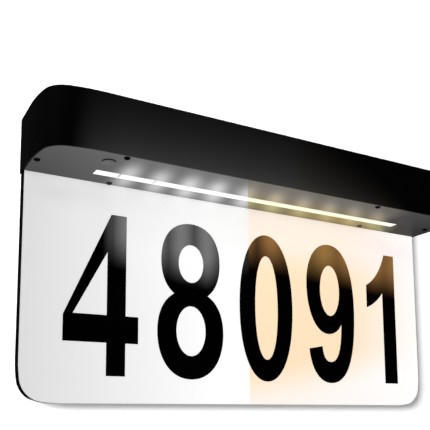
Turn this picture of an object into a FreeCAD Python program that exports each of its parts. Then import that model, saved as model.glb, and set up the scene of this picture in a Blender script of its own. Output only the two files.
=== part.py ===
# Wall-hung, solar-charged house number sign: a black hooded lamp housing with a lit white number plate below it.
# Frame: +Z up, the front faces -Y, +X is the viewer's right. The origin is on the wall plane (y = 0), midway
# between the centres of the two keyhole entries in the hanger plate. Millimetres throughout.
import FreeCAD, Part
from FreeCAD import Vector as V
import math
import os

os.makedirs("parts", exist_ok=True)

# ---------------------------------------------------------------- driving dimensions
PLATE_W = 318.0          # number plate, overall width
PLATE_DROP = 138.6       # plate height showing below the housing
HOUSE_HALF = 160.2       # housing half width
HOUSE_H = 35.2           # housing height
HOUSE_OUT = 50.2         # housing overhang in front of the plate's face
PLATE_T = 5.0            # number plate thickness, three layers
SKIN_T = 0.4             # coated skin on each side of the plate
HANGER_T = 2.0           # steel hanger plate on the wall plane
WALL = 2.4               # housing wall
LIP = 0.8                # thin lip of the housing round the bottom cover
COVER_T = 2.2            # bottom cover thickness
CORNER = (100.0, 14.26, 12.0)    # housing's soft front corner: outer radius, middle radius, sweep of the outer arcs in degrees
PCORNER = (90.0, 15.1, 8.0)      # the same for the plate's lower corners
DECK_T = 5.0             # top deck, solar recess included
RECESS_D = 2.8           # solar recess depth

X_PL = -PLATE_W / 2
Y_FACE = -(HANGER_T + PLATE_T)           # plate's front face
Y_FRONT = Y_FACE - HOUSE_OUT             # housing front
Z_U = -14.0                              # underside of the housing
Z_TOP = Z_U + HOUSE_H
Z_DECK = Z_TOP - DECK_T                  # inner side of the deck
Z_CIN = Z_U + COVER_T                    # inner side of the bottom cover
Z_PB = Z_U - PLATE_DROP                  # plate's lower edge
BULK_T = 2.2                             # inner bulkhead that closes the electronics bay

SLOT_X0, SLOT_X1 = -121.2, 121.9         # light window
SLOT_Y0, SLOT_Y1 = -28.2, -20.4
SLOT_YC = (SLOT_Y0 + SLOT_Y1) / 2
LED_N = 10
LED_PITCH = 22.4
LED_X0 = 0.3 - LED_PITCH * (LED_N - 1) / 2
GROOVE_X0, GROOVE_PITCH = -105.6, 23.35  # fine cross grooves in the light window

COVER_SCREWS = [(-156.7, -27.8), (-111.9, -53.9), (-106.7, -10.4), (77.7, -53.9), (98.0, -12.0), (151.0, -28.2)]
SCREW_PROUD = 0.9        # how far the cover screws' pan heads stand below the cover
HANGER_SCREWS = [(-140.0, 4.0), (-34.0, 4.0), (34.0, 4.0), (140.0, 4.0)]
KEY_X = 90.0                             # keyholes at +-KEY_X
KEY_R, KEY_SLOT_R, KEY_RISE = 4.5, 2.3, 9.0

BTN_X, BTN_Y, BTN_R = -119.2, -44.0, 3.9
BTN_PROUD = 0.9
BTN_TRAVEL = 0.8

DIGIT_T = 0.3
BASE_Z = Z_U - 121.8                     # digits' base line


# ---------------------------------------------------------------- helpers
def box(x0, x1, y0, y1, z0, z1):
    return Part.makeBox(x1 - x0, y1 - y0, z1 - z0, V(x0, y0, z0))


def cyl(r, p, d, length):
    return Part.makeCylinder(r, length, V(*p), V(*d))


def cone(r1, r2, p, d, length):
    return Part.makeCone(r1, r2, length, V(*p), V(*d))


def line(a, b):
    return Part.LineSegment(V(*a), V(*b)).toShape()


def bez(*pts):
    c = Part.BezierCurve()
    c.setPoles([V(*p) for p in pts])
    return c.toShape()


def corner_reach(c, inset=0.0):
    """How far a soft corner runs along each side."""
    r1, r2, a = c[0] - inset, c[1] - inset, math.radians(c[2])
    return r1 - (r1 - r2) * (math.cos(a) - math.sin(a))


def corner_arcs(c, inset, at):
    """Three tangent arcs from (0, reach) to (reach, 0) in corner coordinates; at() places a point in space."""
    r1, r2, a = c[0] - inset, c[1] - inset, math.radians(c[2])
    k = corner_reach(c, inset)
    m = r1 - (r1 - r2) * math.cos(a)            # middle arc's centre lies on the diagonal
    parts = [((r1, k), r1, 0.0, a), ((m, m), r2, a, math.pi / 2 - a), ((k, r1), r1, math.pi / 2 - a, math.pi / 2)]
    out = []
    for (u, v), r, t0, t1 in parts:
        p = [at(u - r * math.cos(t), v - r * math.sin(t)) for t in (t0, (t0 + t1) / 2, t1)]
        out.append(Part.Arc(V(*p[0]), V(*p[1]), V(*p[2])).toShape())
    return out


def house_wire(inset, y_back, z):
    """Plan outline of the housing, inset from its outer skin, with its rear edge at y_back."""
    hx, yf = HOUSE_HALF - inset, Y_FRONT + inset
    s = corner_reach(CORNER, inset)
    e = [line((-hx, y_back, z), (-hx, yf + s, z))]
    e += corner_arcs(CORNER, inset, lambda u, v: (-hx + u, yf + v, z))
    e.append(line((-hx + s, yf, z), (hx - s, yf, z)))
    e += corner_arcs(CORNER, inset, lambda u, v: (hx - u, yf + v, z))[::-1]
    e.append(line((hx, yf + s, z), (hx, y_back, z)))
    e.append(line((hx, y_back, z), (-hx, y_back, z)))
    return Part.Wire(Part.__sortEdges__(e))


def house_prism(inset, y_back, z0, z1):
    return Part.Face(house_wire(inset, y_back, z0)).extrude(V(0, 0, z1 - z0))


def plate_prism(y0, y1, z_top):
    """Number plate blank: square at the top, soft lower corners."""
    hx = PLATE_W / 2
    s = corner_reach(PCORNER)
    e = [line((-hx, y0, z_top), (hx, y0, z_top)), line((hx, y0, z_top), (hx, y0, Z_PB + s))]
    e += corner_arcs(PCORNER, 0.0, lambda u, v: (hx - u, y0, Z_PB + v))
    e.append(line((hx - s, y0, Z_PB), (-hx + s, y0, Z_PB)))
    e += corner_arcs(PCORNER, 0.0, lambda u, v: (-hx + u, y0, Z_PB + v))[::-1]
    e.append(line((-hx, y0, Z_PB + s), (-hx, y0, z_top)))
    return Part.Face(Part.Wire(Part.__sortEdges__(e))).extrude(V(0, y1 - y0, 0))


def rrect(x0, x1, y0, y1, r, z0, z1):
    """Rounded rectangle in plan, extruded upwards."""
    b = box(x0, x1, y0, y1, z0, z1)
    edges = [e for e in b.Edges if abs(e.tangentAt(e.FirstParameter).z) > 0.99]
    return b.makeFillet(r, edges)


def stadium_xz(xc, z0, z1, r, y0, y1):
    """Vertical slot with round ends, cut along Y."""
    w = box(xc - r, xc + r, y0, y1, z0, z1)
    w = w.fuse(cyl(r, (xc, y0, z0), (0, 1, 0), y1 - y0))
    return w.fuse(cyl(r, (xc, y0, z1), (0, 1, 0), y1 - y0)).removeSplitter()


def phillips(p, d, size, depth):
    """Cross recess for a screw head, centred at p and cut along d."""
    d = V(*d)
    u = V(1, 0, 0) if abs(d.x) < 0.5 else V(0, 1, 0)
    w = d.cross(u)
    p = V(*p) - d * 0.2
    out = None
    for a, b in ((u, w), (w, u)):
        pts = [p + a * (size * i) + b * (size * 0.28 * j) for i, j in ((1, 1), (-1, 1), (-1, -1), (1, -1), (1, 1))]
        bar = Part.Face(Part.makePolygon(pts)).extrude(d * (depth + 0.2))
        out = bar if out is None else out.fuse(bar)
    return out.removeSplitter()


def csk_screw(p, d, r_head, r_shank, head_h, length, rim=0.25):
    """Countersunk screw: p is the head's face centre and d points into the work."""
    d = V(*d)
    p = V(*p)
    s = Part.makeCylinder(r_head, rim, p, d)
    s = s.fuse(Part.makeCone(r_head, r_shank, head_h - rim, p + d * rim, d))
    s = s.fuse(Part.makeCylinder(r_shank, length - head_h - 0.6, p + d * head_h, d))
    s = s.fuse(Part.makeCone(r_shank, r_shank * 0.45, 0.6, p + d * (length - 0.6), d))
    s = s.removeSplitter()
    return s.cut(phillips(tuple(p), tuple(d), r_head * 0.58, head_h * 0.55))


def tube_path(points, r):
    """Round lead along straight runs joined by tangent arcs; each arc is as large as its two runs allow."""
    P = [V(*p) for p in points]
    edges, start, radii = [], P[0], []
    for i in range(1, len(P) - 1):
        a, b, c = P[i - 1], P[i], P[i + 1]
        u, w = (a - b), (c - b)
        lu, lw = u.Length, w.Length
        u, w = u.normalize(), w.normalize()
        turn = math.pi - math.acos(max(-1, min(1, u.dot(w))))
        t = 0.45 * min(lu, lw)
        radius = t / math.tan(turn / 2)
        radii.append(round(radius, 1))
        q0, q1 = b + u * t, b + w * t
        bis = (u + w).normalize()
        centre = b + bis * (radius / math.cos(turn / 2))
        mid = centre - bis * radius
        edges.append(Part.LineSegment(start, q0).toShape())
        edges.append(Part.Arc(q0, mid, q1).toShape())
        start = q1
    edges.append(Part.LineSegment(start, P[-1]).toShape())
    path = Part.Wire(edges)
    prof = Part.Wire(Part.makeCircle(r, P[0], P[1] - P[0]))
    tube = path.makePipeShell([prof], True, False)
    want = math.pi * r * r * path.Length
    print("lead: length %.1f mm, radii %s, volume %.2f of %.2f" % (path.Length, radii, tube.Volume, want))
    return tube


def save(name, shape):
    solids = shape.Solids if hasattr(shape, "Solids") else [shape]
    for s in solids:
        if not s.isValid() or s.Volume <= 0:
            raise RuntimeError("%s: invalid solid" % name)
    out = solids[0] if len(solids) == 1 else Part.makeCompound(solids)
    out.exportStep("parts/%s.step" % name)
    print("%-20s %2d solid(s) %10.1f mm3" % (name, len(solids), sum(s.Volume for s in solids)))


def group(items):
    return Part.makeCompound(items)


# ---------------------------------------------------------------- housing shell
SOLAR = dict(x0=-149.0, x1=149.0, y0=-53.2, y1=-7.2)   # solar recess in the deck

shell = house_prism(0, 0, Z_U, Z_TOP)
top_edges = [e for e in shell.Edges if abs(e.BoundBox.ZMin - Z_TOP) < 1e-6 and abs(e.BoundBox.ZMax - Z_TOP) < 1e-6 and e.BoundBox.YMin < -1.0]
shell = shell.makeFillet(0.9, top_edges)
bay = house_prism(WALL, Y_FACE - BULK_T, Z_U - 1, Z_DECK)
pocket = box(-HOUSE_HALF + 1.15, HOUSE_HALF - 1.15, Y_FACE, 1, Z_U - 1, Z_DECK)
shell = shell.cut(bay).cut(pocket)
cover_room = house_prism(LIP, Y_FACE, Z_U - 1, Z_CIN)
shell = shell.cut(cover_room)
recess = rrect(SOLAR["x0"], SOLAR["x1"], SOLAR["y0"], SOLAR["y1"], 5.0, Z_TOP - RECESS_D, Z_TOP + 1)
shell = shell.cut(recess)

posts = []
for x, y in COVER_SCREWS:
    posts.append(cyl(3.0, (x, y, Z_CIN), (0, 0, 1), Z_DECK - Z_CIN + 0.5))
for x, z in HANGER_SCREWS:
    posts.append(cyl(4.2, (x, Y_FACE - BULK_T + 0.5, z), (0, -1, 0), 8.5))
inner_all = house_prism(0.4, 0, Z_U, Z_TOP - 1.5)
for p in posts:
    shell = shell.fuse(p.common(inner_all))
# deck ribs that stiffen the bay behind the battery pack and at the right-hand end
for x, y0 in ((-60.0, -30.0), (-8.0, -30.0), (44.0, -30.0), (122.0, -53.0)):
    shell = shell.fuse(box(x - 0.8, x + 0.8, y0, Y_FACE - 1.0, Z_DECK - 4.0, Z_DECK + 0.5))
shell = shell.removeSplitter()
for x, y in COVER_SCREWS:
    shell = shell.cut(cyl(1.05, (x, y, Z_CIN - 1), (0, 0, 1), 14.0))
for x, z in HANGER_SCREWS:
    shell = shell.cut(cyl(2.3, (x, Y_FACE + 1, z), (0, -1, 0), 9.2))
    shell = shell.cut(cyl(1.6, (x, Y_FACE + 1, z), (0, -1, 0), 10.4))
# lead-through for the solar panel
SOL_X, SOL_Y = -84.0, -22.0
shell = shell.cut(cyl(2.5, (SOL_X, SOL_Y, Z_DECK - 1), (0, 0, 1), 6))
# groove for the cover gasket
g_out = house_prism(1.05, Y_FACE - 0.45, Z_CIN - 0.5, Z_CIN + 0.9)
g_in = house_prism(2.05, Y_FACE - 1.75, Z_CIN - 1.0, Z_CIN + 2.0)
shell = shell.cut(g_out.cut(g_in))
save("housing_shell", shell)

gasket = house_prism(1.1, Y_FACE - 0.5, Z_CIN + 0.02, Z_CIN + 0.86).cut(house_prism(2.0, Y_FACE - 1.7, Z_CIN - 1, Z_CIN + 2))
save("cover_gasket", gasket)

# ---------------------------------------------------------------- bottom cover
cover = house_prism(LIP + 0.12, Y_FACE - 0.15, Z_U, Z_CIN)
low = [e for e in cover.Edges if abs(e.BoundBox.ZMax - Z_U) < 1e-6]
cover = cover.makeFillet(0.3, low)
cover = cover.cut(box(SLOT_X0, SLOT_X1, SLOT_Y0, SLOT_Y1, Z_U - 1, Z_CIN + 1))
cover = cover.fuse(cyl(8.0, (BTN_X, BTN_Y, Z_CIN - 0.5), (0, 0, 1), 2.4))
for x in (-131.5, 131.5):
    cover = cover.fuse(cyl(2.8, (x, SLOT_YC, Z_CIN - 0.5), (0, 0, 1), 6.5))
cover = cover.removeSplitter()
cover = cover.cut(cyl(BTN_R + 0.3, (BTN_X, BTN_Y, Z_U - 1), (0, 0, 1), 6))
cover = cover.cut(cyl(5.5, (BTN_X, BTN_Y, Z_CIN), (0, 0, 1), 6))
for x in (-131.5, 131.5):
    cover = cover.cut(cyl(0.95, (x, SLOT_YC, Z_CIN + 0.4), (0, 0, 1), 8))
for x, y in COVER_SCREWS:
    cover = cover.cut(cyl(1.15, (x, y, Z_U - 1), (0, 0, 1), 5))
    cover = cover.cut(cyl(2.0, (x, y, Z_U - 1), (0, 0, 1), 1.45))
save("bottom_cover", cover)


def pan_screw(p, d, r_head, r_shank, head_h, length):
    """Pan head screw: p is under the head, d points into the work."""
    d, p = V(*d), V(*p)
    h = Part.makeCylinder(r_head, head_h, p, d * -1)
    top = [e for e in h.Edges if abs((e.CenterOfMass - (p - d * head_h)).Length) < 1e-3 and e.Closed]
    h = h.makeFillet(head_h * 0.45, top)
    s = h.fuse(Part.makeCylinder(r_shank, length, p, d)).removeSplitter()
    return s.cut(phillips(tuple(p - d * head_h), tuple(d), r_head * 0.55, head_h * 0.5))


save("cover_screws", group([pan_screw((x, y, Z_U + 0.45), (0, 0, 1), 1.85, 1.0, 0.45 + SCREW_PROUD, 8.2) for x, y in COVER_SCREWS]))

# ---------------------------------------------------------------- light window, LED board and tray
window = box(SLOT_X0 + 0.2, SLOT_X1 - 0.2, SLOT_Y0 + 0.2, SLOT_Y1 - 0.2, Z_U + 0.05, Z_CIN + 0.5)
edges = [e for e in window.Edges if abs(e.BoundBox.ZMax - (Z_U + 0.05)) < 1e-6]
window = window.makeFillet(0.2, edges)
window = window.fuse(box(SLOT_X0 - 4.0, SLOT_X1 + 4.0, SLOT_Y0 - 2.6, SLOT_Y1 + 2.6, Z_CIN + 0.02, Z_CIN + 1.0))
window = window.removeSplitter()
for i in range(LED_N):
    gx = GROOVE_X0 + GROOVE_PITCH * i
    window = window.cut(box(gx - 0.15, gx + 0.15, SLOT_Y0, SLOT_Y1 - 2.2, Z_U - 1, Z_U + 0.35))
save("light_window", window)

Z_BRD = Z_U + 9.0
board = box(-124.0, 124.0, SLOT_YC - 4.5, SLOT_YC + 4.5, Z_BRD, Z_BRD + 1.0)
for x in (-123.0, 123.0):
    board = board.cut(cyl(1.6, (x + math.copysign(1.0, x), SLOT_YC, Z_BRD - 1), (0, 0, 1), 3))
save("led_board", board)
cool, warm = [], []
for i in range(LED_N):
    x = LED_X0 + LED_PITCH * i
    for lst, dx in ((cool, -2.4), (warm, 2.4)):
        b = box(x + dx - 1.4, x + dx + 1.4, SLOT_YC - 1.75, SLOT_YC + 1.75, Z_BRD - 0.8, Z_BRD)
        b = b.cut(cone(1.2, 0.9, (x + dx, SLOT_YC, Z_BRD - 0.81), (0, 0, 1), 0.16))
        lst.append(b)
save("leds_cool_white", group(cool))
save("leds_warm_white", group(warm))

tray = box(-127.5, 127.5, SLOT_Y0 - 2.6, SLOT_Y1 + 2.6, Z_CIN + 1.02, Z_BRD + 2.4)
tray = tray.cut(box(-126.2, 126.2, SLOT_Y0 - 1.3, SLOT_Y1 + 1.3, Z_CIN, Z_BRD + 1.02))
for s in (-1, 1):
    ear = box(min(s * 127.0, s * 136.0), max(s * 127.0, s * 136.0), SLOT_YC - 4.0, SLOT_YC + 4.0, Z_CIN + 6.05, Z_CIN + 7.65)
    tray = tray.fuse(ear)
tray = tray.removeSplitter()
for s in (-1, 1):
    tray = tray.cut(cyl(1.25, (s * 131.5, SLOT_YC, Z_CIN), (0, 0, 1), 14))
tray = tray.cut(box(-112.0, -106.0, SLOT_YC - 2.0, SLOT_YC + 2.0, Z_BRD + 1.0, Z_BRD + 4))
save("led_tray", tray)
save("tray_screws", group([pan_screw((s * 131.5, SLOT_YC, Z_CIN + 7.65), (0, 0, -1), 2.0, 0.9, 1.3, 6.0) for s in (-1, 1)]))

# ---------------------------------------------------------------- mode button
Z_FL = Z_CIN + 0.12
button = cyl(BTN_R, (BTN_X, BTN_Y, Z_U - BTN_PROUD), (0, 0, 1), Z_FL - (Z_U - BTN_PROUD) + 0.2)
e = [e for e in button.Edges if e.Closed and abs(e.BoundBox.ZMax - (Z_U - BTN_PROUD)) < 1e-6]
button = button.makeFillet(0.35, e)
button = button.fuse(cyl(5.15, (BTN_X, BTN_Y, Z_FL), (0, 0, 1), 0.8))
button = button.fuse(cyl(2.0, (BTN_X, BTN_Y, Z_FL + 0.6), (0, 0, 1), 2.5)).removeSplitter()
Z_STEM = Z_FL + 3.1
save("mode_button", button)
Z_BOOT = Z_CIN + 1.92
boot = cyl(8.0, (BTN_X, BTN_Y, Z_BOOT), (0, 0, 1), 0.7).fuse(cyl(3.2, (BTN_X, BTN_Y, Z_BOOT), (0, 0, 1), 1.0))
boot = boot.removeSplitter().cut(cyl(2.08, (BTN_X, BTN_Y, Z_BOOT - 1), (0, 0, 1), 4))
save("button_seal", boot)
stem = cyl(1.55, (BTN_X, BTN_Y, Z_STEM + 0.02), (0, 0, 1), 1.5)
save("switch_plunger", stem)
Z_SW = Z_STEM + 1.25
SW_H = 3.4
sw = rrect(BTN_X - 3, BTN_X + 3, BTN_Y - 3, BTN_Y + 3, 0.5, Z_SW, Z_SW + SW_H)
sw = sw.cut(cyl(1.7, (BTN_X, BTN_Y, Z_SW - 1), (0, 0, 1), 1 + 1.4))
save("tact_switch", sw)

# ---------------------------------------------------------------- control board
Z_PCB = Z_SW + SW_H
PCB = dict(x0=-146.0, x1=-88.0, y0=-50.6, y1=-38.4)
pcb = rrect(PCB["x0"], PCB["x1"], PCB["y0"], PCB["y1"], 1.0, Z_PCB, Z_PCB + 1.6)
STANDOFF = [(-141.5, -44.7), (-92.5, -44.7)]
for x, y in STANDOFF:
    pcb = pcb.cut(cyl(1.3, (x, y, Z_PCB - 1), (0, 0, 1), 4))
save("control_board", pcb)
zt = Z_PCB + 1.6
comps = [
    box(-111.4, -106.4, -48.6, -43.6, zt, zt + 1.5),       # charge controller
    box(-133.0, -129.1, -48.3, -43.3, zt, zt + 1.2),       # LED driver
    rrect(-126.5, -121.5, -48.0, -43.0, 1.2, zt, zt + 2.8),  # inductor
    cyl(2.0, (-102.0, -46.4, zt), (0, 0, 1), 4.6),         # capacitor
    box(-119.0, -117.4, -45.2, -44.4, zt, zt + 0.6),
    box(-119.0, -117.4, -47.6, -46.8, zt, zt + 0.6),
    box(-107.0, -105.4, -42.4, -41.6, zt, zt + 0.6),
]
save("board_components", group(comps))


def connector(x, y):
    c = box(x - 3.0, x + 3.0, y - 2.2, y + 2.2, zt, zt + 4.4)
    return c.cut(box(x - 2.3, x + 2.3, y - 1.5, y + 1.5, zt + 1.0, zt + 5.0))


CON = {"battery": (-98.0, -40.9), "solar": (-115.0, -40.9), "led": (-136.5, -40.9)}
save("board_sockets", group([connector(*p) for p in CON.values()]))
plugs = []
for x, y in CON.values():
    p = box(x - 2.2, x + 2.2, y - 1.4, y + 1.4, zt + 1.05, zt + 6.0)
    plugs.append(p)
save("lead_plugs", group(plugs))
posts = []
for x, y in STANDOFF:
    p = cyl(2.4, (x, y, zt + 0.02), (0, 0, 1), Z_DECK - zt - 0.04)
    posts.append(p.cut(cyl(0.95, (x, y, zt - 1), (0, 0, 1), 8.0)))
save("board_standoffs", group(posts))
save("board_screws", group([pan_screw((x, y, Z_PCB), (0, 0, 1), 1.9, 0.9, 1.2, 7.0) for x, y in STANDOFF]))

# ---------------------------------------------------------------- battery pack
CELL_R, CELL_L = 9.2, 65.2
CELL_Y, CELL_Z = -43.0, 6.2
CX = [(-76.0, -76.0 + CELL_L), (-8.0, -8.0 + CELL_L)]
STRAP_X = [(a + b) / 2 for a, b in CX]
cells, strips = [], []
for x0, x1 in CX:
    c = cyl(CELL_R, (x0, CELL_Y, CELL_Z), (1, 0, 0), CELL_L - 0.8)
    ends = [e for e in c.Edges if e.Closed]
    c = c.makeFillet(0.6, ends)
    c = c.fuse(cyl(3.2, (x1 - 1.2, CELL_Y, CELL_Z), (1, 0, 0), 1.2)).removeSplitter()
    cells.append(c)
save("battery_cells", group(cells))
strips.append(box(CX[0][1], CX[0][1] + 0.25, CELL_Y - 2.5, CELL_Y + 2.5, CELL_Z - 6, CELL_Z + 6))
strips.append(box(CX[1][0] - 0.25, CX[1][0], CELL_Y - 2.5, CELL_Y + 2.5, CELL_Z - 6, CELL_Z + 6))
strips.append(box(CX[0][1] + 0.25, CX[1][0] - 0.25, CELL_Y - 2.5, CELL_Y + 2.5, CELL_Z - 1.2, CELL_Z + 1.2))
strips.append(box(CX[0][0] - 0.25, CX[0][0], CELL_Y - 2.5, CELL_Y + 2.5, CELL_Z - 6, CELL_Z + 6))
strips.append(box(CX[1][1], CX[1][1] + 0.25, CELL_Y - 2.5, CELL_Y + 2.5, CELL_Z - 6, CELL_Z + 6))
save("battery_tabs", group(strips))
BX0, BX1 = CX[0][0] - 3.4, CX[1][1] + 3.4
cradle = box(BX0, BX1, CELL_Y - 10.6, CELL_Y + 10.6, CELL_Z - 11.0, CELL_Z + 1.0)
cradle = cradle.cut(cyl(CELL_R + 0.12, (BX0 + 2.0, CELL_Y, CELL_Z), (1, 0, 0), BX1 - BX0 - 4.0))
cradle = cradle.cut(box(BX0 + 2.0, BX1 - 2.0, CELL_Y - CELL_R - 0.12, CELL_Y + CELL_R + 0.12, CELL_Z, CELL_Z + 3))
cradle = cradle.cut(box(BX0 - 1, BX0 + 3, CELL_Y - 2.4, CELL_Y + 2.4, CELL_Z - 2.4, CELL_Z + 3))
for x in STRAP_X:
    cradle = cradle.cut(box(x - 3.1, x + 3.1, CELL_Y - 11, CELL_Y + 11, CELL_Z - 11.2, CELL_Z - 9.9))
save("battery_cradle", cradle)
# two straps hold the cells and cradle up against foam under the deck
straps = []
for x in STRAP_X:
    o = box(x - 3.0, x + 3.0, CELL_Y - 11.4, CELL_Y + 11.4, CELL_Z - 10.8, Z_DECK - 0.02)
    i = box(x - 4.0, x + 4.0, CELL_Y - 10.62, CELL_Y + 10.62, CELL_Z - 10.02, Z_DECK + 1)
    straps.append(o.cut(i))
save("battery_straps", group(straps))
pads = []
for x0, x1 in CX:
    pads.append(box(x0 + 4, x1 - 6, CELL_Y - 5.0, CELL_Y + 5.0, CELL_Z + CELL_R + 0.02, Z_DECK - 0.02))
save("battery_foam", group(pads))

# ---------------------------------------------------------------- solar panel
zr = Z_TOP - RECESS_D
sx0, sx1, sy0, sy1 = SOLAR["x0"] + 0.3, SOLAR["x1"] - 0.3, SOLAR["y0"] + 0.3, SOLAR["y1"] - 0.3
foam = rrect(sx0, sx1, sy0, sy1, 4.7, zr + 0.01, zr + 0.7).cut(rrect(sx0 + 4, sx1 - 4, sy0 + 4, sy1 - 4, 2.0, zr - 1, zr + 2))
save("solar_seal", foam)
back = rrect(sx0, sx1, sy0, sy1, 4.7, zr + 0.7, zr + 1.7)
save("solar_backing", back)
CELLS_N = 12
pitch = 24.2
cw, ch = 23.3, 38.5
sy = (sy0 + sy1) / 2
cell_list, rib = [], []
for i in range(CELLS_N):
    xc = (i - (CELLS_N - 1) / 2) * pitch
    c = box(xc - cw / 2, xc + cw / 2, sy - ch / 2, sy + ch / 2, zr + 1.7, zr + 1.95)
    ve = [e for e in c.Edges if abs(e.tangentAt(e.FirstParameter).z) > 0.99]
    c = c.makeChamfer(1.6, ve)
    cell_list.append(c)
for k in (-1, 1):
    y = sy + k * 9.6
    x0 = -(CELLS_N / 2) * pitch + 1.2
    rib.append(box(x0, -x0, y - 0.6, y + 0.6, zr + 1.95, zr + 2.03))
save("solar_cells", group(cell_list))
save("solar_ribbons", group(rib))
glass = rrect(sx0, sx1, sy0, sy1, 4.7, zr + 2.04, Z_TOP - 0.05)
te = [e for e in glass.Edges if abs(e.BoundBox.ZMin - (Z_TOP - 0.05)) < 1e-6 and abs(e.BoundBox.ZMax - (Z_TOP - 0.05)) < 1e-6]
glass = glass.makeChamfer(0.3, te)
save("solar_glass", glass)

# ---------------------------------------------------------------- leads
lr = 0.65
zp = zt + 6.0
# battery: from the pack's left end tabs to its socket plug
bx, by = CON["battery"]
bat = tube_path([(bx, by, zp), (bx, by, zp + 5.2), (bx + 5.0, by - 0.5, zp + 8.4), (bx + 12.0, by - 1.2, zp + 5.6), (-80.6, CELL_Y + 0.3, 6.6), (CX[0][0] - 0.29, CELL_Y, 6.2)], lr)
save("battery_lead", bat)
# solar: down through the deck to its plug
xs, ys = CON["solar"]
sol = tube_path([(SOL_X, SOL_Y, zr + 0.66), (SOL_X, SOL_Y, 13.0), (-88.5, -24.5, 8.5), (-97.0, -29.5, 6.8), (-103.5, -33.6, 8.5), (-110.5, -38.0, 11.5), (xs, ys, 9.5), (xs, ys, zp)], lr)
save("solar_lead", sol)
# light strip: up through the tray's roof to its plug
xl, yl = CON["led"]
led = tube_path([(-109.0, SLOT_YC, Z_BRD + 1.0), (-109.0, SLOT_YC, 1.6), (-113.5, -26.5, 5.6), (-122.0, -31.0, 7.2), (-131.0, -37.2, 10.2), (xl, yl, 9.2), (xl, yl, zp)], lr)
save("led_lead", led)

# ---------------------------------------------------------------- number plate, three bonded layers
Z_PT = Z_DECK - 0.4


def plate_cuts(y0, y1):
    out = [stadium_xz(s * KEY_X, -1.0, 8.6, 6.6, y0 - 1, y1 + 1) for s in (-1, 1)]
    out += [cyl(1.7, (x, y0 - 1, z), (0, 1, 0), y1 - y0 + 2) for x, z in HANGER_SCREWS]
    return out


def plate_layer(y0, y1):
    p = plate_prism(y0, y1, Z_PT)
    for c in plate_cuts(y0, y1):
        p = p.cut(c)
    return p


save("plate_front_skin", plate_layer(Y_FACE, Y_FACE + SKIN_T))
save("plate_core", plate_layer(Y_FACE + SKIN_T, -HANGER_T - SKIN_T))
save("plate_back_skin", plate_layer(-HANGER_T - SKIN_T, -HANGER_T))

# ---------------------------------------------------------------- hanger plate and its screws
hanger = box(-152.0, 152.0, -HANGER_T, 0, Z_U + 2.0, Z_DECK - 0.6)
ve = [e for e in hanger.Edges if abs(e.tangentAt(e.FirstParameter).y) > 0.99]
hanger = hanger.makeFillet(3.0, ve)
for s in (-1, 1):
    hanger = hanger.cut(cyl(KEY_R, (s * KEY_X, -HANGER_T - 1, 0), (0, 1, 0), HANGER_T + 2))
    hanger = hanger.cut(stadium_xz(s * KEY_X, 0.5, KEY_RISE, KEY_SLOT_R, -HANGER_T - 1, 1))
for x, z in HANGER_SCREWS:
    hanger = hanger.cut(cyl(1.65, (x, -HANGER_T - 1, z), (0, 1, 0), HANGER_T + 2))
    hanger = hanger.cut(cyl(3.05, (x, 1, z), (0, -1, 0), 1.4))
    hanger = hanger.cut(cone(3.0, 1.6, (x, -0.4, z), (0, -1, 0), 1.45))
save("hanger_plate", hanger)
save("hanger_screws", group([csk_screw((x, -0.1, z), (0, -1, 0), 2.95, 1.5, 1.65, 15.0) for x, z in HANGER_SCREWS]))
ins = []
for x, z in HANGER_SCREWS:
    b = cyl(2.27, (x, Y_FACE - 0.3, z), (0, -1, 0), 6.4).cut(cyl(1.53, (x, Y_FACE + 1, z), (0, -1, 0), 9))
    ins.append(b)
save("threaded_inserts", group(ins))
pads = []
for s in (-1, 1):
    p = cyl(6.0, (s * 138.0, -HANGER_T, Z_PB + 20.0), (0, 1, 0), HANGER_T)
    e = [e for e in p.Edges if e.Closed and abs(e.BoundBox.YMin) < 1e-6 and abs(e.BoundBox.YMax) < 1e-6]
    pads.append(p.makeFillet(0.8, e))
save("wall_bumpers", group(pads))

# ---------------------------------------------------------------- stick-on numbers, plain bold condensed digits
def contour(pts, ox, oz):
    """pts: (x, z) for a corner, or (c1, c2, p) for a cubic to p. Closed."""
    e, cur = [], pts[0]
    first = cur

    def P(q):
        return (ox + q[0], Y_FACE, oz + q[1])

    for q in pts[1:] + [first]:
        if len(q) == 3:
            e.append(bez(P(cur), P(q[0]), P(q[1]), P(q[2])))
            cur = q[2]
        else:
            if math.hypot(q[0] - cur[0], q[1] - cur[1]) > 1e-6:
                e.append(line(P(cur), P(q)))
            cur = q
    return Part.Face(Part.Wire(e))


def digit(name, ox, oz, outer, holes=()):
    f = contour(outer, ox, oz)
    for h in holes:
        f = f.cut(contour(h, ox, oz))
    save(name, f.extrude(V(0, -DIGIT_T, 0)))


def oval(cx, cz, a, b, ka=0.56, kb=0.62):
    """Upright oval as four cubics: half width a, half height b."""
    return [
        (cx - a, cz),
        ((cx - a, cz + b * kb), (cx - a * ka, cz + b), (cx, cz + b)),
        ((cx + a * ka, cz + b), (cx + a, cz + b * kb), (cx + a, cz)),
        ((cx + a, cz - b * kb), (cx + a * ka, cz - b), (cx, cz - b)),
        ((cx - a * ka, cz - b), (cx - a, cz - b * kb), (cx - a, cz)),
    ]


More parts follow.
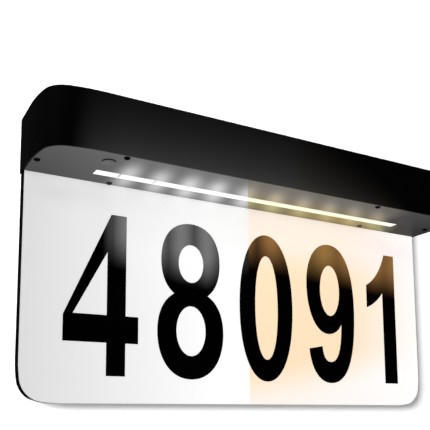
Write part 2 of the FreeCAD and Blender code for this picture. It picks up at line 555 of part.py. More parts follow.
ROW_X0, ROW_X1 = X_PL + 25.5, X_PL + 295.5     # where the row of numbers starts and ends
WIDTHS = (48.8, 49.0, 44.7, 44.7, 29.4)
GAP = (ROW_X1 - ROW_X0 - sum(WIDTHS)) / 4
DX = [ROW_X0 + sum(WIDTHS[:i]) + GAP * i for i in range(5)]
digit("digit_1_four", DX[0], BASE_Z, [
    (27.7, 0.0), (40.2, 0.0), (40.2, 20.6), (48.8, 20.6), (48.8, 37.8), (40.2, 37.8), (40.2, 102.4), (29.9, 102.4), (0.0, 36.8), (0.0, 20.6), (27.7, 20.6),
], [[(27.7, 37.8), (27.7, 78.0), (6.0, 37.8)]])
eight_r = [
    ((37.6, 104.0), (46.4, 94.6), (46.4, 78.2)),
    ((46.4, 68.0), (43.4, 60.4), (37.0, 55.6)),
    ((44.6, 51.2), (49.0, 42.6), (49.0, 30.4)),
    ((49.0, 12.0), (39.4, -0.8), (24.5, -0.8)),
]
eight_l = [
    ((9.6, -0.8), (0.0, 12.0), (0.0, 30.4)),
    ((0.0, 42.6), (4.4, 51.2), (12.0, 55.6)),
    ((5.6, 60.4), (2.6, 68.0), (2.6, 78.2)),
    ((2.6, 94.6), (11.4, 104.0), (24.5, 104.0)),
]
digit("digit_2_eight", DX[1], BASE_Z, [(24.5, 104.0)] + eight_r + eight_l,
      [oval(24.5, 76.6, 9.3, 12.9, 0.56, 0.56), oval(24.5, 31.2, 10.9, 16.6, 0.56, 0.56)])
digit("digit_3_zero", DX[2], BASE_Z, oval(22.35, 51.6, 22.35, 52.5, 0.54, 0.66), [oval(22.35, 51.6, 9.6, 37.2, 0.52, 0.68)])


def turn(q):
    return tuple((44.7 - a, 103.3 - b) for a, b in q) if len(q) == 3 else (44.7 - q[0], 103.3 - q[1])


six = [
    (43.2, 79.1),
    ((41.6, 95.0), (34.0, 104.1), (23.7, 104.1)),
    ((7.4, 104.1), (0.0, 84.0), (0.0, 49.0)),
    ((0.0, 15.5), (9.6, -0.8), (23.7, -0.8)),
    ((36.4, -0.8), (44.7, 12.0), (44.7, 31.2)),
    ((44.7, 53.0), (36.2, 67.6), (25.2, 67.6)),
    ((20.0, 67.6), (15.6, 65.0), (12.6, 59.4)),
    ((13.2, 79.4), (16.6, 88.4), (23.6, 88.4)),
    ((28.6, 88.4), (30.7, 84.0), (31.2, 77.0)),
]
six_hole = oval(23.2, 34.6, 9.2, 19.2, 0.56, 0.56)
digit("digit_4_nine", DX[3], BASE_Z, [turn(q) for q in six], [[turn(q) for q in six_hole]])
digit("digit_5_one", DX[4], BASE_Z, [
    (16.5, 0.0), (29.4, 0.0), (29.4, 102.4), (19.2, 102.4),
    ((16.4, 92.6), (9.6, 81.2), (0.0, 76.6)),
    (0.0, 58.9),
    ((6.2, 61.2), (12.2, 65.8), (16.5, 71.6)),
])
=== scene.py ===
import math
import bmesh
import bpy
from mathutils import Matrix, Vector

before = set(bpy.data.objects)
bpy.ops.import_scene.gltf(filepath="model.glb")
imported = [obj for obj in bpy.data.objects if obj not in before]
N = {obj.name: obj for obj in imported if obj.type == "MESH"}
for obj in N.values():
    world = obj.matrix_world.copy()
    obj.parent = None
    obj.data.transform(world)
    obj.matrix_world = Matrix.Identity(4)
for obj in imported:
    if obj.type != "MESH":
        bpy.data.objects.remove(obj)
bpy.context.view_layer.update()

sc = bpy.context.scene
MM = 0.001

# ------------------------------------------------------------------ camera: the photograph's own view
RIGHT = Vector((0.878203, -0.478274, -0.00355))
DOWN = Vector((0.058233, 0.114288, -0.991739))
FWD = Vector((0.474729, 0.870742, 0.12822))
cam_data = bpy.data.cameras.new("camera")
cam_data.sensor_width = 36.0
cam_data.lens = 54.8937
cam_data.shift_x = 0.01967
cam_data.shift_y = 0.26744
cam_data.clip_start = 0.01
cam_data.clip_end = 100.0
cam = bpy.data.objects.new("camera", cam_data)
sc.collection.objects.link(cam)
m = Matrix.Identity(4)
for i in range(3):
    m[i][0], m[i][1], m[i][2] = RIGHT[i], -DOWN[i], -FWD[i]
m[0][3], m[1][3], m[2][3] = -0.244046, -0.390122, -0.159558
cam.matrix_world = m
sc.camera = cam
sc.view_settings.view_transform = "Standard"
sc.view_settings.look = "None"


# ------------------------------------------------------------------ a small language for node sums
class G:
    """One material's node tree. Values are sockets or plain numbers."""

    def __init__(self, name):
        self.mat = bpy.data.materials.new(name)
        self.mat.use_nodes = True
        self.nt = self.mat.node_tree
        self.nt.nodes.clear()
        self.out = self.nt.nodes.new("ShaderNodeOutputMaterial")
        self._xyz = None
        self._co = None

    def co(self):
        if self._co is None:
            self._co = self.nt.nodes.new("ShaderNodeTexCoord").outputs["Object"]
        return self._co

    def xyz(self):
        """x, y, z in millimetres, in the object's own frame."""
        if self._xyz is None:
            s = self.nt.nodes.new("ShaderNodeSeparateXYZ")
            self.nt.links.new(self.co(), s.inputs[0])
            self._xyz = tuple(E(self, o) * 1000.0 for o in s.outputs)
        return self._xyz

    def put(self, sock, v):
        if isinstance(v, E):
            v = v.s
        if isinstance(v, bpy.types.NodeSocket):
            self.nt.links.new(v, sock)
        else:
            sock.default_value = v

    def math(self, op, *a, clamp=False):
        if all(not isinstance(x, E) for x in a):
            raise ValueError("constant sum: " + op)
        n = self.nt.nodes.new("ShaderNodeMath")
        n.operation = op
        n.use_clamp = clamp
        for i, x in enumerate(a):
            self.put(n.inputs[i], x)
        return E(self, n.outputs[0])

    def noise(self, scale, detail=3.0, rough=0.55, vec=None, dist=0.0):
        n = self.nt.nodes.new("ShaderNodeTexNoise")
        self.nt.links.new(vec if vec is not None else self.co(), n.inputs["Vector"])
        n.inputs["Scale"].default_value = scale
        n.inputs["Detail"].default_value = detail
        n.inputs["Roughness"].default_value = rough
        n.inputs["Distortion"].default_value = dist
        return E(self, n.outputs["Fac"] if "Fac" in n.outputs else n.outputs[0])

    def voronoi(self, scale, vec=None, feature="F1", out="Distance"):
        n = self.nt.nodes.new("ShaderNodeTexVoronoi")
        n.feature = feature
        self.nt.links.new(vec if vec is not None else self.co(), n.inputs["Vector"])
        n.inputs["Scale"].default_value = scale
        return n.outputs[out]

    def stretch(self, sx, sy, sz):
        n = self.nt.nodes.new("ShaderNodeVectorMath")
        n.operation = "MULTIPLY"
        self.nt.links.new(self.co(), n.inputs[0])
        n.inputs[1].default_value = (sx, sy, sz)
        return n.outputs[0]

    def rgb(self, r, g, b):
        n = self.nt.nodes.new("ShaderNodeCombineColor")
        for i, x in enumerate((r, g, b)):
            self.put(n.inputs[i], x)
        return n.outputs[0]

    def mix(self, f, a, b):
        n = self.nt.nodes.new("ShaderNodeMix")
        n.data_type = "RGBA"
        self.put(n.inputs[0], f)
        for k, x in ((6, a), (7, b)):
            if isinstance(x, tuple):
                x = (*x, 1.0)[:4]
            self.put(n.inputs[k], x)
        return n.outputs[2]

    def bump(self, h, strength, dist=0.0005):
        n = self.nt.nodes.new("ShaderNodeBump")
        n.inputs["Strength"].default_value = strength
        n.inputs["Distance"].default_value = dist
        self.put(n.inputs["Height"], h)
        return n.outputs[0]

    def principled(self, **kw):
        n = self.nt.nodes.new("ShaderNodeBsdfPrincipled")
        for k, v in kw.items():
            k = k.replace("_", " ")
            if isinstance(v, tuple) and len(v) == 3:
                v = (*v, 1.0)
            self.put(n.inputs[k], v)
        self.nt.links.new(n.outputs[0], self.out.inputs[0])
        return n


class E:
    def __init__(self, g, s):
        self.g, self.s = g, s

    def __add__(self, o): return self.g.math("ADD", self, o)
    __radd__ = __add__
    def __sub__(self, o): return self.g.math("SUBTRACT", self, o)
    def __rsub__(self, o): return self.g.math("SUBTRACT", o, self)
    def __mul__(self, o): return self.g.math("MULTIPLY", self, o)
    __rmul__ = __mul__
    def __truediv__(self, o): return self.g.math("DIVIDE", self, o)
    def __neg__(self): return self * -1.0
    def exp(self): return self.g.math("EXPONENT", self)
    def sqrt(self): return self.g.math("SQRT", self)
    def abs(self): return self.g.math("ABSOLUTE", self)
    def frac(self): return self.g.math("FRACT", self)
    def sin(self): return self.g.math("SINE", self)
    def pow(self, p): return self.g.math("POWER", self, p)
    def gt(self, v): return self.g.math("GREATER_THAN", self, v)
    def lt(self, v): return self.g.math("LESS_THAN", self, v)
    def min(self, v): return self.g.math("MINIMUM", self, v)
    def max(self, v): return self.g.math("MAXIMUM", self, v)
    def clamp(self): return self.g.math("MULTIPLY", self, 1.0, clamp=True)

    def ramp(self, a, b, lo=0.0, hi=1.0, kind="SMOOTHSTEP"):
        n = self.g.nt.nodes.new("ShaderNodeMapRange")
        n.interpolation_type = kind
        self.g.put(n.inputs["Value"], self)
        if a > b:
            a, b, lo, hi = b, a, hi, lo
        n.inputs["From Min"].default_value = a
        n.inputs["From Max"].default_value = b
        n.inputs["To Min"].default_value = lo
        n.inputs["To Max"].default_value = hi
        return E(self.g, n.outputs["Result"])

    def bell(self, c, s):
        d = (self - c) / s
        return (d * d * -0.5).exp()

    def comb(self, c, pitch, s):
        """Bells of width s on every c + k * pitch."""
        d = (((self - c) / pitch + 0.5).frac() - 0.5) * (pitch / s)
        return (d * d * -0.5).exp()


def give(mat, *names):
    for n in names:
        o = N[n]
        o.data.materials.clear()
        o.data.materials.append(mat)


# ------------------------------------------------------------------ materials
SPLIT = -1.2         # where the cool half of the light meets the warm half, on the plate


def plastic(name, base, rough=0.5, grain=0.12, scale=2600.0, spec=0.35, var=0.25, emit=None):
    """Moulded, lightly spark-textured plastic."""
    g = G(name)
    mott = g.noise(60.0, 4.0)
    fine = g.noise(scale, 2.0, 0.6)
    col = g.mix(mott, tuple(c * (1 - var) for c in base), tuple(min(1.0, c * (1 + var)) for c in base))
    kw = dict(Base_Color=col, Roughness=(fine - 0.5) * 0.25 + (mott - 0.5) * 0.12 + rough, Normal=g.bump(fine, grain, 0.0002))
    n = g.principled(Specular_IOR_Level=spec, **kw)
    # painted light: emit, where given, paints the light falling on the part into its emission
    if emit:
        g.put(n.inputs["Emission Color"], emit(g))
        n.inputs["Emission Strength"].default_value = 1.0
    return g.mat


def shell_painted_glow(g):
    """Painted light: light that reaches the housing's front from the lit area below it, painted into the housing's
    emission.
    """
    x, y, z = g.xyz()
    front = y.ramp(-53.0, -55.6)
    steep = x.ramp(-20.0, 100.0, 0.0, 1.0, "LINEAR")
    up = ((z + 13.0) * (steep * steep * 0.078 + 0.050) * -1.0).exp() * 0.0345
    across = x.ramp(-148.5, -128.0, 0.0, 0.62) + x.ramp(-132.0, -108.0, 0.0, 0.28) + x.ramp(-100.0, -60.0, 0.0, 0.10)
    fade = x.ramp(108.0, -2.0, 0.0, 1.0, "LINEAR")
    e = (up * across * fade - 0.0012).max(0.0) * front
    warm = x.ramp(4.0, 16.0)
    return g.rgb(e, e * (1.0 - warm * 0.10), e * (1.0 - warm * 0.20))


def under_split(x, y):
    """1 on the cool side of the underside, 0 on the warm side."""
    return (x - (y + 7.0) * 0.630).lt(SPLIT)


def cover_painted_light(g):
    """Painted light: pools of light round each lamp of the strip, painted into the cover's emission over a faint
    painted glow, cool on the left and warm on the right.
    """
    x, y, z = g.xyz()
    dy = y + 24.3
    u = (x - dy * 0.465) / (dy * 0.00335 + 1.0)
    under = z.lt(-13.85)
    cool = under_split(x, y)
    warm = 1.0 - cool
    front = y.lt(-24.3)
    rear = 1.0 - front
    u = u + (u - 55.0).max(0.0) * rear * 0.09
    # one bell for each lamp, with nothing beyond the first and the last
    first = u.ramp(-24.5, -29.5)
    bells = u.max(-100.6).comb(-100.6, 21.0, 4.4) * first + u.min(104.4).comb(-14.6, 23.8, 4.8) * (1.0 - first)
    out_l, out_r = (u + 100.6).min(0.0) / 4.6, (u - 104.4).max(0.0) / 4.8
    bells = bells * ((out_l * out_l + out_r * out_r) * -0.5).exp()
    df = ((dy * -1.0) - 6.5).max(0.0) / 10.2
    dr = (dy - 6.0).max(0.0) / 9.6
    gf = (df * df * -0.5).exp()
    gb = (dr * dr * -0.5).exp()
    amp_c = gf * front * 0.40 + gb * rear * x.ramp(-110.0, -10.0, 0.36, 0.41, "LINEAR")
    amp_w = gf * front * x.ramp(0.0, 110.0, 0.255, 0.150, "LINEAR") + gb * rear * x.ramp(0.0, 60.0, 0.26, 0.155)
    base = (x + 150.0).max(0.0).min(36.0) * 0.0008 + (y + 7.0) * -0.00086 + 0.056 + x.ramp(-110.0, -70.0) * 0.013
    tail = x.ramp(0.0, 112.0, 0.0, 0.050, "LINEAR") + x.ramp(108.0, 156.0, 0.0, 0.027) + x.ramp(93.0, 104.0) * 0.034 - x.ramp(110.0, 144.0, 0.0, 0.028, "LINEAR")
    a_c = x.bell(-50.0, 11.0) * 0.11 + x.ramp(-90.0, -8.0, 0.055, 0.10, "LINEAR")
    end_f, end_r = x.ramp(112.0, 100.0), u.ramp(121.0, 111.0)
    val_c = u.ramp(-114.0, -93.0) * (a_c * (gf * front + gb * rear * 0.95) * 0.8 + 0.012)
    val_w = front * end_f * (gf * 0.078 + 0.018) + rear * end_r * (gb * 0.8 + 0.2) * x.ramp(0.0, 84.0, 0.125, 0.260)
    drift = g.noise(24.0, 2.0) * 0.20 + 0.90
    e = ((bells * (amp_c * cool + amp_w * warm) * drift + val_c * cool + val_w * warm + base - tail).max(0.030)) * under
    near = df.ramp(1.7, 0.0)
    along = x - (y + 14.0) * 0.4
    trail = rear * along.ramp(112.0, 122.0) * along.ramp(134.0, 120.0)
    e = e + trail * under * 0.12
    tint = warm * (front * end_f + rear * x.ramp(150.0, 112.0))
    tg = front * near.ramp(0.0, 1.0, 0.07, 0.15) + rear * (x.bell(70.0, 26.0) * 0.11 + 0.13)
    tb = front * near.ramp(0.0, 1.0, 0.20, 0.41) + rear * (x.bell(68.0, 28.0) * 0.12 + 0.56)
    return g.rgb(e, e * (1.0 - tint * tg), e * (1.0 - tint * tb))


black = plastic("housing_black", (0.0030, 0.0030, 0.0031), rough=0.46, grain=0.07, spec=0.045, emit=shell_painted_glow)
give(black, "housing_shell")
cover = plastic("cover_black", (0.008, 0.008, 0.0082), rough=0.5, grain=0.07, spec=0.03, emit=cover_painted_light)
give(cover, "bottom_cover")


LIGHT_ON_PLATE = 0.41    # what the studio light alone gives on the white face


def plate_mat():
    # Painted light: the white face's emission paints the lamp strip's light, cool on the left and warm on the right,
    # with painted shade in bands below the top (top, band) and a painted lift along the top edge (hood, edge)
    g = G("plate_white")
    x, y, z = g.xyz()
    cool = x.lt(SPLIT)
    face = y.lt(-6.98)
    lum = x.ramp(-160.0, -29.0, 0.0, 1.0, "LINEAR").pow(0.92)
    top = z.ramp(-52.0, -34.0)
    hood = z.ramp(-27.0, -14.0)    # painted light along the top edge, where the housing keeps some of the studio light off
    edge = z.ramp(-25.0, -17.0)
    band = z.ramp(-58.0, -36.0) * z.ramp(-14.0, -24.0, 0.45, 1.0)
    ec = lum * 0.295 + 0.715 - top * x.ramp(-110.0, -30.0) * 0.05 + hood * 0.05 + edge * x.bell(-138.0, 17.0) * 0.07 - band * x.ramp(-128.0, -106.0) * 0.055
    fx = x.ramp(166.0, 84.0, 0.0, 1.0, "LINEAR")
    least = x.ramp(35.0, 105.0, 0.26, 0.12, "LINEAR")
    low = (z - (x - 20.0) * 0.2).ramp(-155.0, -122.0) * (1.0 - least) + least
    fz = (z.ramp(-30.0, -62.0, 0.5, 1.0) - z.ramp(-31.0, -16.0, 0.0, 0.18)) * low
    d = fx * fz * 0.44
    warm = 1.0 - cool
    k = LIGHT_ON_PLATE
    level = 1.005 - k - top * x.ramp(40.0, -2.0) * 0.02 + x.ramp(90.0, 156.0) * (hood * 0.05 + 0.03) + x.ramp(100.0, 140.0) * edge * 0.05
    end = x.ramp(118.0, 140.0) * z.ramp(-31.0, -24.0)
    r = (ec - k) * cool + warm * (level + 0.01 + end * 0.055)
    gr = (ec - k) * cool + warm * (level - d * 0.465 - band * 0.03 + end * 0.055)
    bl = (ec - k) * cool + warm * (level - d * 1.02 + end * 0.02)
    peel = g.noise(900.0, 2.0)
    white = g.mix(g.noise(8.0, 2.0), (0.80, 0.80, 0.80), (0.84, 0.84, 0.84))
    n = g.principled(Base_Color=g.mix(face, (0.012, 0.012, 0.012), white),
                     Roughness=(peel - 0.5) * 0.08 + 0.34, Normal=g.bump(peel, 0.04, 0.0001), Specular_IOR_Level=0.12)
    g.put(n.inputs["Emission Color"], g.rgb(r * face, gr * face, bl * face))
    n.inputs["Emission Strength"].default_value = 1.0
    return g.mat


give(plate_mat(), "plate_front_skin")


def back_skin():
    g = G("plate_back_mill")
    brush = g.noise(40.0, 5.0, 0.6, vec=g.stretch(0.25, 1.0, 9.0))
    face = g.xyz()[1].gt(-2.02)
    col = g.mix(face, (0.012, 0.012, 0.012), g.mix(brush, (0.50, 0.51, 0.52), (0.68, 0.69, 0.70)))
    g.principled(Base_Color=col, Metallic=face * 0.75, Roughness=(brush - 0.5) * 0.2 + 0.42, Normal=g.bump(brush, 0.12, 0.0001))
    return g.mat


give(back_skin(), "plate_back_skin")
give(plastic("plate_core_black", (0.004, 0.004, 0.004), rough=0.8, grain=0.5, scale=1500.0, spec=0.03), "plate_core")


def vinyl():
    """Glossy cut film. A painted reflection of the lamps above is put into its emission on its upper part, cool on the
    left and warm on the right.
    """
    g = G("vinyl_black")
    x, y, z = g.xyz()
    cool = x.lt(SPLIT)
    warm = 1.0 - cool
    zc = (z + (x + 40.0) * 0.13 - (x + 35.0).max(0.0) * 0.5).ramp(-77.0, -51.0)
    zw = (z + (x - 20.0) * 0.075).ramp(-61.0, -33.0)
    pc = x.comb(-93.0, 19.4, 6.0) * 0.85 + 0.15
    pw = x.comb(18.0, 24.2, 6.8) * x.ramp(0.0, 60.0, 0.92, 0.42) + x.ramp(0.0, 60.0, 0.08, 0.58)
    ec = x.ramp(-110.0, -99.0) * x.ramp(4.0, -13.0) * pc * zc * 0.178
    ew = pw * zw * 0.295
    olive = x.bell(55.0, 14.0) * 0.09 + 0.485
    film = g.noise(700.0, 2.0)
    n = g.principled(Base_Color=g.mix(g.noise(30.0, 3.0), (0.0006, 0.0006, 0.0006), (0.0022, 0.0022, 0.0022)),
                     Roughness=(film - 0.5) * 0.1 + 0.28, Specular_IOR_Level=0.05, Normal=g.bump(film, 0.05, 0.0001))
    g.put(n.inputs["Emission Color"], g.rgb(ec * cool + ew * warm, ec * cool + ew * warm * olive, ec * cool + ew * warm * 0.16))
    n.inputs["Emission Strength"].default_value = 1.0
    return g.mat


give(vinyl(), "digit_1_four", "digit_2_eight", "digit_3_zero", "digit_4_nine", "digit_5_one")


def window():
    """Frosted strip, lit from inside, with fine division marks that fade to the right."""
    g = G("window_lit")
    x, y, z = g.xyz()
    cool = under_split(x, y)
    warm = 1.0 - cool
    tick = x.comb(-105.6, 23.35, 0.36) * y.ramp(-22.0, -22.6)
    seen = x.ramp(-112.0, -20.0, 0.80, 0.12) * cool + warm * 0.06
    rim = y.ramp(-26.1, -27.6) * 0.75 + y.ramp(-22.6, -20.4) * 0.9
    white = x.ramp(82.0, 118.0, 1.0, 0.55)
    e = (1.0 - tick * seen) * z.ramp(-13.0, -13.9, 0.35, 1.0)
    n = g.principled(Base_Color=g.mix(g.noise(80.0), (0.10, 0.10, 0.10), (0.16, 0.16, 0.16)), Roughness=0.4, Specular_IOR_Level=0.2)
    g.put(n.inputs["Emission Color"], g.rgb(e * (1.0 - warm * (rim * 0.03 + 0.11)), e * (1.0 - warm * (rim * 0.03 + 0.11)), e * (1.0 - warm * (rim * 0.34 + 0.27) * white)))
    n.inputs["Emission Strength"].default_value = 1.0
    return g.mat


give(window(), "light_window")
# painted light: the button's lower face glows in its emission at the level of the painted light on the cover around it
give(plastic("button_black", (0.022, 0.022, 0.023), rough=0.42, spec=0.2, emit=lambda g: g.rgb(*[g.xyz()[2].ramp(-14.4, -14.75) * 0.086] * 3)), "mode_button")


def steel(name, a, b, rough=0.35, scale=300.0, stretch=(1, 1, 1), metal=1.0):
    g = G(name)
    t = g.noise(scale, 4.0, 0.6, vec=g.stretch(*stretch))
    g.principled(Base_Color=g.mix(t, a, b), Metallic=metal, Roughness=(t - 0.5) * 0.25 + rough, Normal=g.bump(t, 0.08, 0.0001))
    return g.mat




def screw_painted_light(g):
    """Painted light: the rear screws' emission paints the light they catch from the strip in front of them."""
    x, y, z = g.xyz()
    rear = y.gt(-18.0)
    warm = x.gt(0.0)
    return g.rgb(rear * (warm * 0.075 + 0.018), rear * (warm * 0.040 + 0.018), rear * (warm * 0.006 + 0.018))


give(plastic("screw_black", (0.0022, 0.0022, 0.0022), rough=0.55, grain=0.05, scale=1400.0, spec=0.03, emit=screw_painted_light), "cover_screws")
give(steel("screw_zinc", (0.50, 0.51, 0.52), (0.72, 0.73, 0.74), 0.3, 900.0), "tray_screws", "board_screws", "board_standoffs")
give(steel("screw_passivated", (0.15, 0.15, 0.16), (0.26, 0.26, 0.28), 0.34, 900.0), "hanger_screws")
give(steel("switch_metal", (0.45, 0.45, 0.46), (0.62, 0.62, 0.63), 0.35, 700.0), "tact_switch")
give(steel("nickel_strip", (0.58, 0.56, 0.52), (0.74, 0.72, 0.68), 0.3, 500.0, (1, 1, 6)), "battery_tabs")
give(steel("insert_brass", (0.55, 0.38, 0.14), (0.78, 0.58, 0.26), 0.32, 600.0), "threaded_inserts")
give(steel("ribbon_tinned", (0.50, 0.51, 0.53), (0.58, 0.59, 0.61), 0.5, 60.0, (0.3, 4, 1), metal=0.5), "solar_ribbons")


def galvanised():
    """Zinc-coated sheet: fine spangle over a faint rolling grain."""
    g = G("hanger_galvanised")
    v = g.voronoi(520.0, out="Color")
    s = g.nt.nodes.new("ShaderNodeSeparateColor")
    g.nt.links.new(v, s.inputs[0])
    cell = E(g, s.outputs[0])
    roll = g.noise(60.0, 5.0, 0.6, vec=g.stretch(0.2, 1.0, 8.0))
    t = cell * 0.35 + roll * 0.65
    g.principled(Base_Color=g.mix(t, (0.36, 0.37, 0.39), (0.60, 0.61, 0.63)), Metallic=0.85, Roughness=cell * 0.10 + 0.36, Normal=g.bump(roll, 0.06, 0.0001))
    return g.mat


give(galvanised(), "hanger_plate")


def rubber(name, base=(0.018, 0.018, 0.018)):
    return plastic(name, base, rough=0.82, grain=0.25, scale=1800.0, spec=0.2)


give(rubber("seal_rubber"), "cover_gasket", "button_seal", "wall_bumpers")


def solar_cell():
    """Dark blue silicon, each cell a little different in tone, with fine silver fingers along it."""
    g = G("solar_silicon")
    x, y, z = g.xyz()
    v = x / 24.2 + 6.0
    tone = ((v - v.frac()) * 2.37).sin() * 0.32 + 0.5
    bulk = g.noise(30.0, 3.0)
    finger = y.comb(0.0, 1.55, 0.055)
    silicon = g.mix(tone + (bulk - 0.5) * 0.4, (0.006, 0.012, 0.042), (0.014, 0.026, 0.080))
    col = g.mix(finger * 0.35, silicon, (0.20, 0.21, 0.23))
    g.principled(Base_Color=col, Metallic=finger * 0.3, Roughness=bulk * 0.1 + 0.42, Specular_IOR_Level=0.25)
    return g.mat


give(solar_cell(), "solar_cells")


def laminate():
    g = G("solar_laminate")
    weave = g.noise(400.0, 2.0)
    g.principled(Base_Color=g.mix(weave, (0.17, 0.18, 0.20), (0.24, 0.25, 0.27)), Roughness=weave * 0.15 + 0.5, Specular_IOR_Level=0.2)
    return g.mat


give(laminate(), "solar_backing")


def glass():
    """Low-iron cover glass: hardly any colour of its own, a clear gloss and a faint texture."""
    g = G("solar_cover_glass")
    t = g.noise(140.0, 2.0)
    n = g.principled(Base_Color=g.mix(t, (0.004, 0.006, 0.010), (0.008, 0.010, 0.016)), Roughness=t * 0.05 + 0.07, Normal=g.bump(g.noise(420.0, 2.0), 0.02, 0.0001))
    n.inputs["Alpha"].default_value = 0.30
    n.inputs["Specular IOR Level"].default_value = 0.9
    return g.mat


give(glass(), "solar_glass")
give(plastic("foam_grey", (0.09, 0.09, 0.09), rough=0.95, grain=0.8, scale=1200.0, spec=0.1), "solar_seal", "battery_foam")
give(plastic("tray_white", (0.80, 0.80, 0.80), rough=0.3, var=0.04), "led_tray")
give(plastic("board_white", (0.78, 0.78, 0.76), rough=0.4, var=0.04), "led_board")
give(plastic("board_green", (0.02, 0.14, 0.06), rough=0.35, var=0.3), "control_board")
give(plastic("parts_dark", (0.02, 0.02, 0.02), rough=0.45), "board_components", "switch_plunger")
give(plastic("nylon_cream", (0.72, 0.68, 0.56), rough=0.5, var=0.08), "board_sockets", "lead_plugs")
give(plastic("led_cool", (0.80, 0.85, 0.90), rough=0.25, var=0.05), "leds_cool_white")
give(plastic("led_warm", (0.90, 0.62, 0.20), rough=0.25, var=0.08), "leds_warm_white")
give(plastic("battery_sleeve", (0.03, 0.10, 0.38), rough=0.3, var=0.15), "battery_cells")
give(plastic("cradle_grey", (0.10, 0.10, 0.11), rough=0.6), "battery_cradle")
give(plastic("strap_woven", (0.02, 0.02, 0.02), rough=0.9, grain=0.9, scale=1600.0), "battery_straps")
give(plastic("lead_pvc", (0.16, 0.012, 0.012), rough=0.45), "battery_lead", "solar_lead", "led_lead")

# ------------------------------------------------------------------ stage: a white wall seen from its front only, and a pale floor


def plane(name, pts, mat):
    me = bpy.data.meshes.new(name)
    bm = bmesh.new()
    bm.faces.new([bm.verts.new(p) for p in pts])
    bm.to_mesh(me)
    bm.free()
    o = bpy.data.objects.new(name, me)
    me.materials.append(mat)
    sc.collection.objects.link(o)
    return o


def one_sided(name, albedo, emit_seen, emit_unseen, far=None, gap=None):
    """Shows its front face only, and lets light from behind pass. What the camera sees and what it gives to the object are set apart."""
    g = G(name)
    nt, out = g.nt, g.out
    new, link = nt.nodes.new, nt.links.new
    geo, path = new("ShaderNodeNewGeometry"), new("ShaderNodeLightPath")
    dif, em0, em1, tr = new("ShaderNodeBsdfDiffuse"), new("ShaderNodeEmission"), new("ShaderNodeEmission"), new("ShaderNodeBsdfTransparent")
    add, pick, side, most = new("ShaderNodeAddShader"), new("ShaderNodeMixShader"), new("ShaderNodeMixShader"), new("ShaderNodeMath")
    most.operation = "MAXIMUM"
    x, y, z = g.xyz()
    seen = emit_seen
    if far is not None:
        # even white away from the object
        seen = (x * x + y * y + z * z).sqrt().ramp(320.0, 750.0, emit_seen, far)
    # painted shade: the gap mask darkens the wall's colour and emission where it is 1
    if gap is not None:
        open_ = 1.0 - gap(x, z)
        seen = seen * open_
        a = open_ * albedo
        link(g.rgb(a, a, a), dif.inputs[0])
    else:
        dif.inputs[0].default_value = (albedo, albedo, albedo, 1)
    g.put(em0.inputs[1], seen)
    glossy = E(g, path.outputs["Is Glossy Ray"])
    g.put(em1.inputs[1], glossy * (-0.85 * emit_unseen) + emit_unseen)
    link(dif.outputs[0], add.inputs[0])
    link(em0.outputs[0], add.inputs[1])
    link(path.outputs["Is Camera Ray"], pick.inputs[0])
    link(em1.outputs[0], pick.inputs[1])
    link(add.outputs[0], pick.inputs[2])
    link(geo.outputs["Backfacing"], most.inputs[0])
    link(path.outputs["Is Shadow Ray"], most.inputs[1])
    link(most.outputs[0], side.inputs[0])
    link(pick.outputs[0], side.inputs[1])
    link(tr.outputs[0], side.inputs[2])
    link(side.outputs[0], out.inputs[0])
    return g.mat


def painted_gap_shade(x, z):
    """Painted shade: 1 on the strip of wall just inside the plate's left edge, painted dark where the narrow gap keeps
    the light out.
    """
    down = (z * -1.0 - 126.35).max(0.0)
    edge = down * down * (1.0 / 180.0) - 159.25
    dx, dz = x + 143.17, z + 136.77
    low = z.lt(-138.9)
    side = (x - edge).ramp(-0.1, 0.1) * (x - edge).ramp(1.7, 1.3) * (1.0 - low)
    r = (dx * dx + dz * dz).sqrt()
    corner = r.ramp(15.45, 15.25) * r.ramp(13.65, 14.05) * low * dx.ramp(-3.0, -9.0)
    return (side + corner) * x.lt(-120.0) * z.lt(-13.0)


WALL_Y = 0.0006
wall = plane("wall", [(-8, WALL_Y, -0.9), (8, WALL_Y, -0.9), (8, WALL_Y, 6.0), (-8, WALL_Y, 6.0)], one_sided("wall_white", 0.12, 0.27, 0.22, far=1.05, gap=painted_gap_shade))
floor = plane("floor", [(-8, -6, -0.9), (8, -6, -0.9), (8, WALL_Y, -0.9), (-8, WALL_Y, -0.9)], one_sided("floor_pale", 0.12, 0.97, 0.22))

# ------------------------------------------------------------------ light
world = bpy.data.worlds.new("world")
sc.world = world
world.use_nodes = True
wn = world.node_tree
wn.nodes.clear()
wout, wbg, wpath, wmix = (wn.nodes.new(t) for t in ("ShaderNodeOutputWorld", "ShaderNodeBackground", "ShaderNodeLightPath", "ShaderNodeMixShader"))
wcam = wn.nodes.new("ShaderNodeBackground")
wbg.inputs[0].default_value = (1, 1, 1, 1)
wbg.inputs[1].default_value = 0.12
wcam.inputs[0].default_value = (1, 1, 1, 1)
wcam.inputs[1].default_value = 1.0
wless = wn.nodes.new("ShaderNodeMath")
wless.operation = "MULTIPLY_ADD"
wn.links.new(wpath.outputs["Is Glossy Ray"], wless.inputs[0])
wless.inputs[1].default_value = -0.095
wless.inputs[2].default_value = 0.12
wn.links.new(wless.outputs[0], wbg.inputs[1])
wn.links.new(wpath.outputs["Is Camera Ray"], wmix.inputs[0])
wn.links.new(wbg.outputs[0], wmix.inputs[1])
wn.links.new(wcam.outputs[0], wmix.inputs[2])
wn.links.new(wmix.outputs[0], wout.inputs[0])


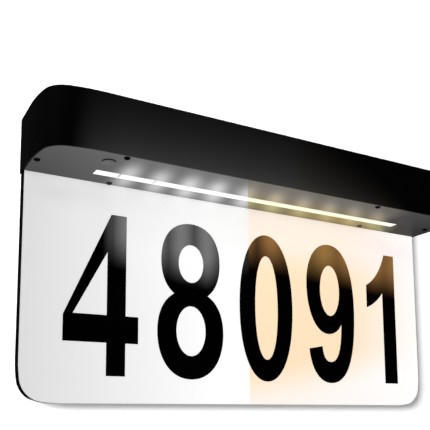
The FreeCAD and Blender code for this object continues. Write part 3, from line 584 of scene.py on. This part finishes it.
def area(name, pos, target, size, power):
    d = bpy.data.lights.new(name, "AREA")
    d.shape = "DISK"
    d.size = size
    d.energy = power
    o = bpy.data.objects.new(name, d)
    o.location = pos
    o.rotation_mode = "QUATERNION"
    o.rotation_quaternion = (Vector(target) - Vector(pos)).to_track_quat("-Z", "Y")
    sc.collection.objects.link(o)
    return o


def group(name, objs):
    c = bpy.data.collections.new(name)
    for o in objs:
        c.objects.link(o)
    return c


DARK = ("housing_shell", "bottom_cover", "cover_screws", "mode_button", "digit_1_four", "digit_2_eight", "digit_3_zero", "digit_4_nine", "digit_5_one")
BRIGHT = ("plate_front_skin",)
CLEAR = ("solar_glass",)

# the wall's own light: it throws the sign's soft shadow to the right and a little down
key = area("wall_key", (-1.85, -1.2, 0.44), (0, 0, -0.06), 1.0, 765.0)
key.light_linking.receiver_collection = group("lit_by_wall_key", [wall, floor])
key.light_linking.blocker_collection = group("shades_wall_key", [N[n] for n in ("plate_front_skin", "plate_core", "plate_back_skin", "hanger_plate")])
near_key = area("wall_near_key", (-0.35, -2.4, 0.42), (0, 0, -0.06), 0.7, 45.0)
near_key.light_linking.receiver_collection = group("lit_by_near_key", [wall, floor])
near_key.light_linking.blocker_collection = group("shades_near_key", [N["housing_shell"], N["bottom_cover"]])

# the white face is lit softly from the front, the black housing only from above, so that it stays black
front = area("front_soft", (-0.7, -2.3, 0.10), (0, 0, -0.06), 1.8, 22.0)
front.light_linking.receiver_collection = group("lit_by_front", [o for n, o in N.items() if n not in DARK + CLEAR])
rest = [o for n, o in N.items() if n not in BRIGHT + CLEAR]
for nm, pos, size, power in (("top_soft", (0.1, 0.05, 1.5), 0.9, 24.0), ("left_high", (-0.75, 0.05, 1.6), 0.6, 18.0), ("right_high", (0.80, 0.05, 1.6), 0.6, 18.0),
                             ("back_soft", (0.5, 1.9, 0.6), 1.6, 45.0)):
    o = area(nm, pos, (0, 0, -0.03), size, power)
    o.light_linking.receiver_collection = group("lit_by_" + nm, rest)

# a low light from the right and behind, for the housing's right end only
end = area("right_end", (1.5, 0.45, 0.25), (0.16, -0.03, 0.0), 0.7, 40.0)
end.light_linking.receiver_collection = group("lit_by_right_end", [N["housing_shell"]])
